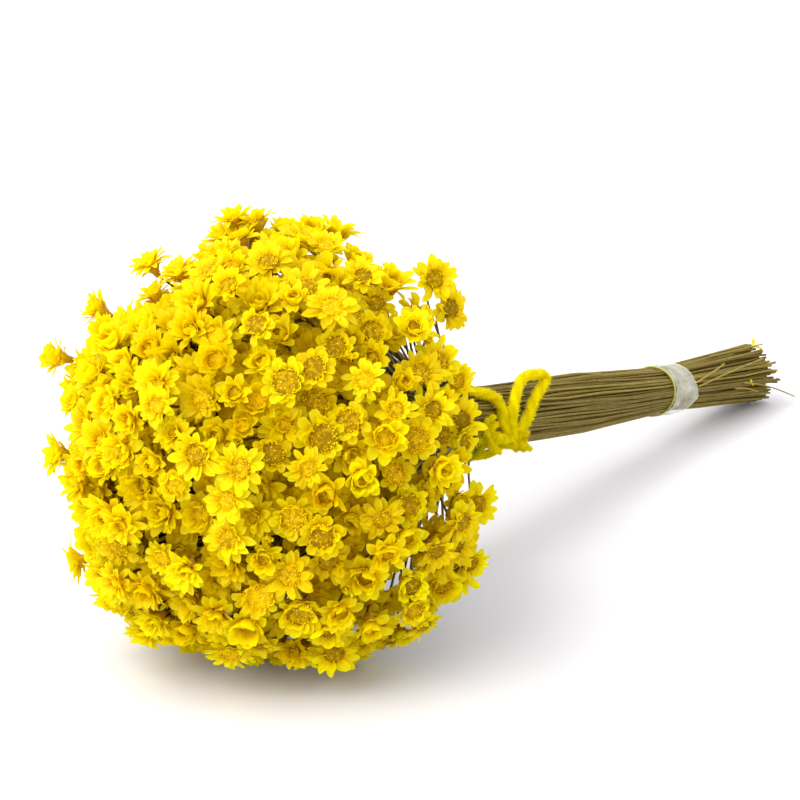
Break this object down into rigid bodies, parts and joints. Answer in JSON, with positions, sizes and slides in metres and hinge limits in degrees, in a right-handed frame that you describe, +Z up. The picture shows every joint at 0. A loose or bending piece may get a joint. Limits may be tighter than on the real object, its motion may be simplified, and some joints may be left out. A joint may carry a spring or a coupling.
{
  "type": "dried everlasting flower bunch",
  "caption": "Round bunch of small yellow star-shaped dried flowers on thin olive-brown stems, lying down, tied with a fuzzy yellow yarn bow and a paper tape band",
  "frame": {"origin": "on the table, below the middle of the bunch's box", "axes": "+X runs along the bunch from the ball of blooms to the cut end, +Z is up from the table"},
  "size_m": [0.4098, 0.1306, 0.1222],
  "materials": {
    "petals": "dry papery petals, golden yellow, darker in the middle",
    "stems": "dull dry wiry stalks, olive-brown",
    "yarn": "fuzzy wool-like yarn, lemon yellow",
    "tape": "thin wrinkled milky-white tape",
    "elastic": "thin pale yellow-green band"
  },
  "bodies": {
    "root": {"blooms_inner_01": "petals", "blooms_inner_02": "petals", "blooms_inner_03": "petals", "blooms_middle_01": "petals", "blooms_middle_02": "petals", "blooms_middle_03": "petals", "blooms_middle_04": "petals", "blooms_middle_05": "petals", "blooms_middle_06": "petals", "blooms_middle_07": "petals", "blooms_middle_08": "petals", "blooms_middle_09": "petals", "blooms_outer_01": "petals", "blooms_outer_02": "petals", "blooms_outer_03": "petals", "blooms_outer_04": "petals", "blooms_outer_05": "petals", "blooms_outer_06": "petals", "blooms_outer_07": "petals", "blooms_outer_08": "petals", "blooms_outer_09": "petals", "blooms_outer_10": "petals", "blooms_outer_11": "petals", "blooms_outer_12": "petals", "blooms_outer_13": "petals", "blooms_outer_14": "petals", "blooms_outer_15": "petals", "elastic_band": "elastic", "paper_tape": "tape", "stems_inner_01": "stems", "stems_inner_02": "stems", "stems_inner_03": "stems", "stems_middle_01": "stems", "stems_middle_02": "stems", "stems_middle_03": "stems", "stems_middle_04": "stems", "stems_middle_05": "stems", "stems_middle_06": "stems", "stems_middle_07": "stems", "stems_middle_08": "stems", "stems_middle_09": "stems", "stems_outer_01": "stems", "stems_outer_02": "stems", "stems_outer_03": "stems", "stems_outer_04": "stems", "stems_outer_05": "stems", "stems_outer_06": "stems", "stems_outer_07": "stems", "stems_outer_08": "stems", "stems_outer_09": "stems", "stems_outer_10": "stems", "stems_outer_11": "stems", "stems_outer_12": "stems", "stems_outer_13": "stems", "stems_outer_14": "stems", "stems_outer_15": "stems", "yarn_bow": "yarn"}
  },
  "joints": []
}
